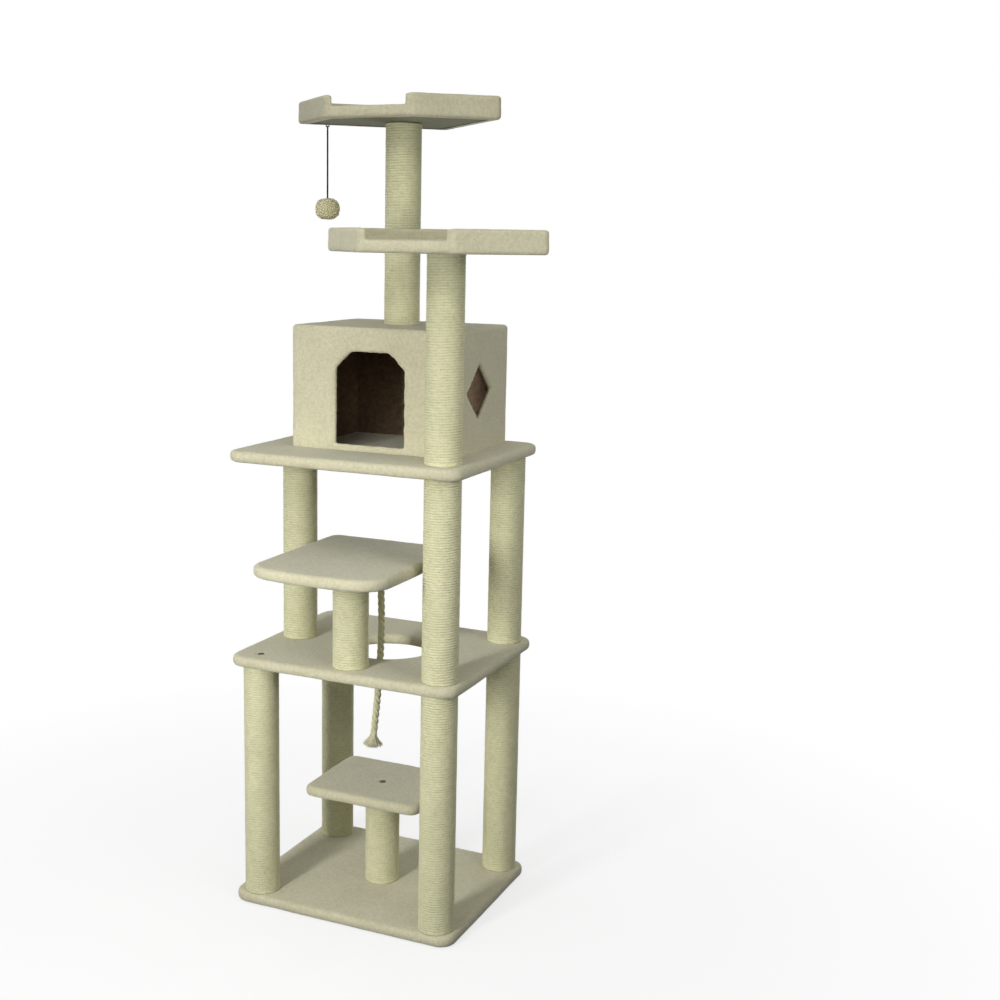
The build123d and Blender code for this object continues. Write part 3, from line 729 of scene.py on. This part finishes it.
def house():
    """The cover of the house, a shell sunk in its walls and open at door and window."""
    low, high = box_mm("condo_cover")
    mid, half = (low + high) / 2, (high - low) / 2
    z0, z1 = low[2] + DOOR_SILL, low[2] + DOOR_SILL + DOOR_HEIGHT
    x0 = mid[0] + DOOR_SHIFT - DOOR_WIDTH / 2
    x1 = mid[0] + DOOR_SHIFT + DOOR_WIDTH / 2
    clipped_right = [(x1, z1 - DOOR_CLIP), (x1 - DOOR_CLIP, z1)]
    clipped_left = [(x0 + DOOR_CLIP, z1), (x0, z1 - DOOR_CLIP)]
    door = polygon([(x0, z0), (x1, z0), *clipped_right, *clipped_left])
    y, z = mid[1] - WINDOW_FORWARD, mid[2] - WINDOW_DROP
    across = [(y - WINDOW_WIDE, z), (y + WINDOW_WIDE, z)]
    window = polygon([across[0], (y, z - WINDOW_TALL), across[1], (y, z + WINDOW_TALL)])

    def opened(form, opening):
        return both(form + CUT_EDGE, CUT_EDGE - opening) - CUT_EDGE

    def field(x, y, z):
        a = abs(x - mid[0]) - half[0] + HOUSE_EDGE
        b = abs(y - mid[1]) - half[1] + HOUSE_EDGE
        c = z - high[2] + HOUSE_EDGE
        corner = np.sqrt(sum(np.maximum(d, 0) ** 2 for d in (a, b, c)))
        block = np.minimum(np.maximum(np.maximum(a, b), c), 0) + corner - HOUSE_EDGE
        wall = WALL - SUNK_IN_WALL
        room = np.maximum(abs(x - mid[0]) - half[0] + wall, abs(y - mid[1]) - half[1] + wall)
        shell = np.maximum(block, -np.maximum(room, z - high[2] + wall))
        shell = np.where(y < mid[1], opened(shell, door(x, z)), shell)
        right = x > mid[0] + half[0] * WINDOW_SIDE
        return np.where(right, opened(shell, window(y, z)), shell)

    points, faces = surface(field, low + (0, 0, HOUSE_START), high)
    above = points[faces].mean(axis=1)[:, 2] > low[2] - HOUSE_CUT

    # The pile is ragged along the cut edges of door and window
    px, py, pz = points.T
    from_door = np.where(py < mid[1], abs(door(px, pz)), FAR)
    from_window = np.where(px > mid[0], abs(window(py, pz)), FAR)
    near = np.exp(-((np.minimum(from_door, from_window) / RAGGED_REACH) ** 2))
    ragged = RAGGED * lumps(points, RAGGED_SIZE, 95) * near
    points = points + normals(points, faces) * ragged[:, None]
    points, faces = keep(fluff(points, faces, 90), faces, above)
    points[:, 2] = np.maximum(points[:, 2], low[2] + HOUSE_LIFT)
    cover = make_object("condo_plush", points, faces, plush, stands_for=("condo_cover",))


house()


# ---- wound posts


def winding(name, seed):
    """One rope wound from the foot of the post to its head, as a single tube."""
    low, high = box_mm(name + "_sisal")
    centre, ring = (low[:2] + high[:2]) / 2, (high[0] - low[0]) / 2 - WIND_DEEP
    rng = np.random.default_rng(seed)
    length = high[2] - low[2]
    turns = round(length / WIND_PITCH)
    rise = length / (turns - 2 + 2 * WIND_TALL)
    sides = WIND_SIDES
    count = turns * WIND_PER_TURN + 1

    # The first and the last turn lie flat
    turned = np.arange(count) / WIND_PER_TURN
    angle = turned * 2 * math.pi + rng.uniform(0, 6)
    z = low[2] + rise * (WIND_TALL + np.clip(turned - 1, 0, turns - 2))
    line = np.stack([ring * np.cos(angle), ring * np.sin(angle), z], axis=1)
    from_end = np.minimum(z - low[2], high[2] - z)
    free = np.clip(from_end / WIND_HELD - WIND_HELD_SHARE, 0, 1)
    dz = WIND_STRAY * lumps(line, WIND_STRAY_SIZE, seed) * free
    dr = WIND_SWELL * lumps(line, WIND_SWELL_SIZE, seed + 500) - WIND_SWELL
    turn = np.arange(sides) / sides * 2 * math.pi
    tall = rise * WIND_TALL / math.sin(math.pi / 3)
    radial = ring + dr[:, None] + WIND_DEEP * np.cos(turn)[None, :]
    upright = (z + dz)[:, None] + tall * np.sin(turn)[None, :]
    x = centre[0] + radial * np.cos(angle)[:, None]
    y = centre[1] + radial * np.sin(angle)[:, None]
    points = np.stack([x, y, np.clip(upright, low[2], high[2])], axis=2).reshape(-1, 3)

    i, k = np.meshgrid(np.arange(count - 1), np.arange(sides), indexing="ij")
    a, b = i * sides, (i + 1) * sides
    j = (k + 1) % sides
    faces = np.stack([a + k, b + k, b + j, a + j], axis=2).reshape(-1, 4).tolist()
    foot, head = list(range(sides)), list(range((count - 1) * sides, count * sides))[::-1]
    faces = [*faces, foot, head]
    stands_for = (name + "_sisal",)
    obj = make_object(
        name + "_winding", points, faces, wound_sisal, stands_for=stands_for
    )
    step = 2 * math.pi * ring / WIND_PER_TURN / 1000
    u = np.stack([i, i + 1, i + 1, i], axis=2) * step
    v = np.stack([k, k, k + 1, k + 1], axis=2) / sides
    rope_map(obj, np.stack([u.ravel(), v.ravel()], axis=1))


for number, post in enumerate(POSTS):
    winding(post, 200 + number)


# ---- hanging rope, its frayed end, the toy's cord and its pompom


def spline(name, points):
    """A smooth line with the route's points as its control points."""
    curve = bpy.data.curves.new(name, "CURVE")
    curve.dimensions = "3D"
    curve.resolution_u = 16
    s = curve.splines.new("NURBS")
    s.points.add(len(points) - 1)
    for p, co in zip(s.points, points):
        p.co = (*co, 1)
    s.order_u = 3
    s.use_endpoint_u = True
    return curve


def along(curve):
    """Points read from a curve with no bevel, in metres."""
    obj = bpy.data.objects.new(curve.name + "_line", curve)
    scene.collection.objects.link(obj)
    bpy.context.view_layer.update()
    evaluated = obj.evaluated_get(bpy.context.evaluated_depsgraph_get())
    mesh = bpy.data.meshes.new_from_object(evaluated)
    points = np.array([v.co for v in mesh.vertices])
    bpy.data.objects.remove(obj)
    bpy.data.meshes.remove(mesh)
    return points


def lengths_along(points):
    """Distance of each point from the start of its line."""
    steps = np.linalg.norm(np.diff(points, axis=0), axis=1)
    return np.concatenate([[0], np.cumsum(steps)])


def even(points, step):
    """Points at even steps along a line, and their distances from its start."""
    s = lengths_along(points)
    at = np.linspace(0, s[-1], max(2, round(s[-1] / step) + 1))
    return np.stack([np.interp(at, s, points[:, k]) for k in range(3)], axis=1), at


def sideways(points):
    """Two directions across a line at each point, carried along without twist."""
    tangent = np.gradient(points, axis=0)
    tangent /= np.linalg.norm(tangent, axis=1)[:, None]
    a = np.zeros_like(points)
    a[0] = np.cross(tangent[0], (0, 1, 0))
    for i in range(len(points)):
        a[i] = a[i - 1] if i else a[0]
        a[i] -= tangent[i] * (a[i] @ tangent[i])
        a[i] /= np.linalg.norm(a[i])
    return a, np.cross(tangent, a)


def tube_object(name, lines, radii, sides, mat, body, stands_for):
    """Closed tubes round several lines, with a radius for each point."""
    points, faces, ends, maps, start = [], [], [], [], 0
    turn = np.arange(sides) / sides * 2 * math.pi
    for line, radius in zip(lines, radii):
        a, b = sideways(line)
        ring = np.cos(turn)[None, :, None] * a[:, None] + np.sin(turn)[None, :, None] * b[:, None]
        points.append((line[:, None] + ring * np.reshape(radius, (-1, 1, 1))).reshape(-1, 3))
        i, k = np.meshgrid(np.arange(len(line) - 1), np.arange(sides), indexing="ij")
        j = (k + 1) % sides
        near, far = start + i * sides, start + (i + 1) * sides
        faces += np.stack([near + k, near + j, far + j, far + k], axis=2).reshape(-1, 4).tolist()
        last = start + (len(line) - 1) * sides
        ends += [list(range(start, start + sides))[::-1], list(range(last, last + sides))]
        s = lengths_along(line)
        u = np.stack([s[i], s[i], s[i + 1], s[i + 1]], axis=2)
        v = np.stack([k, k + 1, k + 1, k], axis=2) / sides
        maps.append(np.stack([u, v], axis=3).reshape(-1, 2))
        start += len(line) * sides
    points = np.concatenate(points) * 1000
    obj = make_object(name, points, faces + ends, mat, body, stands_for)
    rope_map(obj, np.concatenate(maps))
    return obj


def laid(line, at, lay, out, way):
    """The lines of the strands that are laid round a line, the one way round or the other."""
    a, b = sideways(line)
    strands = []
    for k in range(STRANDS):
        turn = way * 2 * math.pi * (at / lay + k / STRANDS)
        strands.append(line + out * (a * np.cos(turn)[:, None] + b * np.sin(turn)[:, None]))
    return strands


def fray(line):
    """Loose fibres that spread from the end of a rope."""
    a, b = sideways(line)
    end, down = line[-1], (line[-1] - line[-6]) / np.linalg.norm(line[-1] - line[-6])
    rng = np.random.default_rng(5)
    t = np.linspace(0, 1, FRAY_POINTS)[:, None]
    hairs = []
    for _ in range(FRAY_HAIRS):
        turn = rng.uniform(0, 2 * math.pi)
        out = a[-1] * math.cos(turn) + b[-1] * math.sin(turn)
        share = math.sqrt(rng.uniform(FRAY_LEAST_SHARE, 1))
        long = FRAY_LONG + FRAY_LONGER_INSIDE * (1 - share) + rng.uniform(-FRAY_UNEVEN, FRAY_UNEVEN)
        bend = np.array([rng.uniform(-1, 1), rng.uniform(-1, 1), 0]) * FRAY_BEND
        spread = out * share * (FRAY_NARROW + FRAY_WIDE * t**FRAY_FLARE)
        hairs.append(end - down * FRAY_ROOT + spread + down * (long + FRAY_ROOT) * t + bend * t * t)
    sizes = [np.linspace(FRAY_THICK, FRAY_THIN, FRAY_POINTS)] * FRAY_HAIRS
    return tube_object(
        "rope_fray", hairs, sizes, FIBRE_SIDES, fray_yarn, "rope", ("rope_tuft",)
    )


def hanging_rope():
    route = [(x, y, ROPE_TOP + z) for x, y, z in ROPE]
    line, at = even(along(spline("rope_route", route)), LINE_STEP)
    strands = laid(line, at, ROPE_LAY, ROPE_STRAND_OUT, -1)
    radii = [np.full(len(line), ROPE_STRAND_RADIUS)] * STRANDS
    rope = tube_object(
        "hanging_rope", strands, radii, ROPE_SIDES, laid_sisal, "rope", ("rope",)
    )
    fray(line)


def ball_size(flat, up):
    """Distance from the centre of a ball of radius 1 with squared-off sides."""
    return (flat**BALL_SQUARE + abs(up) ** BALL_SQUARE) ** (1 / BALL_SQUARE)


def fill_pompom(ball, centre):
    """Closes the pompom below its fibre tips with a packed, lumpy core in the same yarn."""
    wide, _, tall = CORE_HALF

    def field(x, y, z):
        return (ball_size(np.hypot(x, y) / wide, z / tall) - 1) * tall

    points, faces = surface(field, -CORE_HALF, CORE_HALF, CORE_GRID)
    points += normals(points, faces) * CORE_LUMP * lumps(points, CORE_LUMP_SIZE, 77)[:, None]
    core = bpy.data.meshes.new("toy_pompom_core")
    core.from_pydata((points / 1000 + centre).tolist(), [], faces.tolist())
    joined = bmesh.new()
    joined.from_mesh(ball.data)
    joined.from_mesh(core)
    joined.to_mesh(ball.data)
    joined.free()
    bpy.data.meshes.remove(core)
    ball.data.polygons.foreach_set("use_smooth", np.full(len(ball.data.polygons), True))


def pompom(centre):
    """Yarn ends that stand out evenly all round, cut to a squared-off ball."""
    rng = np.random.default_rng(8)
    t = np.linspace(YARN_ROOT, 1, len(YARN_RADII))[:, None]
    lines = []
    for k in range(YARN_ENDS):
        up = 1 - 2 * (k + 0.5) / YARN_ENDS
        turn = k * math.pi * (3 - math.sqrt(5))
        flat = math.sqrt(1 - up * up)
        way = np.array([flat * math.cos(turn), flat * math.sin(turn), up])
        way = way + rng.normal(0, YARN_LEAN, 3)
        way /= np.linalg.norm(way)
        way /= ball_size(math.hypot(way[0], way[1]), way[2])
        reach = np.array([BALL, BALL, BALL_HIGH]) * rng.uniform(YARN_SHORTEST, 1.0)
        bend = rng.normal(0, YARN_BEND, 3) * ((t - YARN_ROOT) / (1 - YARN_ROOT)) ** 2
        lines.append(centre + way * reach * t + bend)
    sizes = [np.array(YARN_RADII)] * YARN_ENDS
    ball = tube_object(
        "toy_pompom", lines, sizes, FIBRE_SIDES, pompom_yarn, "toy", ("toy_ball",)
    )
    fill_pompom(ball, centre)
    return ball


def toy():
    x, y, z = TOY
    ball = pompom(np.array([x, y, z - TOY_CORD - BALL_HIGH]))
    route = [(x, y, z), (x, y, z - TOY_CORD / 2), (x, y, z - TOY_CORD)]
    line, at = even(along(spline("toy_route", route)), LINE_STEP)
    strands = laid(line, at, TOY_LAY, TOY_STRAND_OUT, 1)
    radii = [np.full(len(line), TOY_STRAND_RADIUS)] * STRANDS
    cord = tube_object(
        "toy_string", strands, radii, CORD_SIDES, cord_yarn, "toy", ("toy_cord",)
    )


hanging_rope()
toy()


# ---- camera, light and floor


def camera():
    turn, tilt, roll = (math.radians(v) for v in (CAMERA_TURN, CAMERA_TILT, CAMERA_ROLL))
    right = Vector((math.cos(turn), math.sin(turn), 0))
    level = math.cos(tilt)
    ahead = Vector((-math.sin(turn) * level, math.cos(turn) * level, -math.sin(tilt)))
    up = right.cross(ahead)
    x = right * math.cos(roll) + up * math.sin(roll)
    y = up * math.cos(roll) - right * math.sin(roll)
    cam = bpy.data.objects.new("camera", bpy.data.cameras.new("camera"))
    m = Matrix((x, y, -ahead)).transposed().to_4x4()
    m.translation = CAMERA_PLACE
    cam.matrix_world = m
    cam.data.lens = CAMERA_LENS
    cam.data.sensor_width = CAMERA_SENSOR
    cam.data.shift_x = CAMERA_SHIFT
    scene.collection.objects.link(cam)
    scene.camera = cam


def lamp(name, place, aim, wide, tall, watts, spread):
    light = bpy.data.lights.new(name, "AREA")
    light.shape = "RECTANGLE"
    light.size, light.size_y = wide, tall
    light.energy = watts
    light.spread = math.radians(spread)
    obj = bpy.data.objects.new(name, light)
    obj.location = place
    obj.rotation_mode = "QUATERNION"
    obj.rotation_quaternion = (Vector(aim) - Vector(place)).to_track_quat("-Z", "Y")
    scene.collection.objects.link(obj)


def seen_straight(tree):
    """1 for the rays that show the background, straight or in metal or glass."""
    path = add(tree, "LightPath").outputs
    seen = maths(tree, "MAXIMUM", path["Is Camera Ray"], path["Is Glossy Ray"])
    return maths(tree, "MAXIMUM", seen, path["Is Transmission Ray"])


def sky():
    """White where it is seen, and dimmer as a light."""
    world = bpy.data.worlds.new("studio")
    scene.world = world
    world.use_nodes = True
    tree = world.node_tree
    back = tree.nodes["Background"]
    back.inputs["Color"].default_value = (1, 1, 1, 1)
    split = add(tree, "SeparateXYZ")
    tree.links.new(add(tree, "TexCoord").outputs["Generated"], split.inputs[0])
    x, y, z = split.outputs
    level = plus(tree, times(tree, maths(tree, "MAXIMUM", z, 0.0), SKY_RISE), SKY_LEAST)
    front = maths(tree, "SUBTRACT", SKY_MIDDLE, times(tree, y, SKY_FRONT))
    level = times(tree, level, plus(tree, front, times(tree, x, SKY_RIGHT)))
    tree.links.new(maths(tree, "MAXIMUM", level, seen_straight(tree)), back.inputs["Strength"])


def floor():
    """A white floor that keeps the shadow, and dims the light that it throws back."""
    h = FLOOR_HALF
    mesh = bpy.data.meshes.new("floor")
    mesh.from_pydata([(-h, -h, 0), (h, -h, 0), (h, h, 0), (-h, h, 0)], [], [(0, 1, 2, 3)])
    obj = bpy.data.objects.new("floor", mesh)
    obj.location.z = FLOOR_Z
    scene.collection.objects.link(obj)
    m, tree, shader = material("floor", (0.4, 0.4, 0.4), 0.9)
    white = add(tree, "Emission", Color=(1, 1, 1, 1), Strength=1.0)
    blend = tree.nodes.new("ShaderNodeMixShader")
    paint(tree, shader, mix(tree, seen_straight(tree), (0.12, 0.12, 0.12), (0.95, 0.95, 0.95)))
    reach = add(tree, "VectorMath", operation="LENGTH")
    tree.links.new(object_coords(tree), reach.inputs[0])
    away = times(tree, reach.outputs["Value"], FLOOR_FADE)
    fade = ramp(tree, away, (0.1, (0.7, 0.7, 0.7)), (0.75, WHITE))
    tree.links.new(times(tree, seen_straight(tree), fade), blend.inputs[0])
    tree.links.new(shader.outputs[0], blend.inputs[1])
    tree.links.new(white.outputs[0], blend.inputs[2])
    tree.links.new(blend.outputs[0], tree.nodes["Material Output"].inputs["Surface"])
    mesh.materials.append(m)


scene.view_settings.view_transform = "Standard"
camera()
sky()
for lamp_name, setting in LAMPS.items():
    lamp(lamp_name, *setting)
floor()
